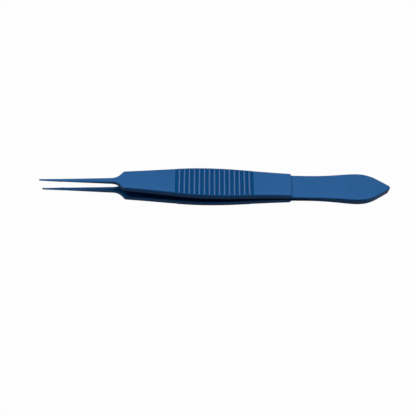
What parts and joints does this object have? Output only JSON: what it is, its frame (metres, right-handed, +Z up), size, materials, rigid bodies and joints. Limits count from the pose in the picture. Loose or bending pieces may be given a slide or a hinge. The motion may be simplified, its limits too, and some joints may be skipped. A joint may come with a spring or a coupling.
{
  "type": "suture forceps",
  "caption": "Fine spring forceps with serrated leaf-shaped grips, slender tapered shanks and toothed tips, for holding tissue and tying sutures.",
  "frame": {"origin": "centre of the bounding box in plan, on the surface that the forceps rests on", "axes": "+X along the length towards the welded tail, +Y across the grip, +Z up, away from the surface"},
  "size_m": [0.105, 0.0094, 0.0083],
  "materials": {
    "anodised_titanium": "blue anodised titanium, satin"
  },
  "bodies": {
    "lower": {"lower_arm": "anodised_titanium", "guide_pin": "anodised_titanium"},
    "upper": {"upper_arm": "anodised_titanium"}
  },
  "joints": [
    {"name": "squeeze", "type": "hinge", "parent": "lower", "child": "upper", "pos_m": [0.02956, 0, 0.00257], "axis": [0, -1, 0], "range_deg": [0, 3.66], "stiffness_Nm_per_rad": 0.5}
  ]
}
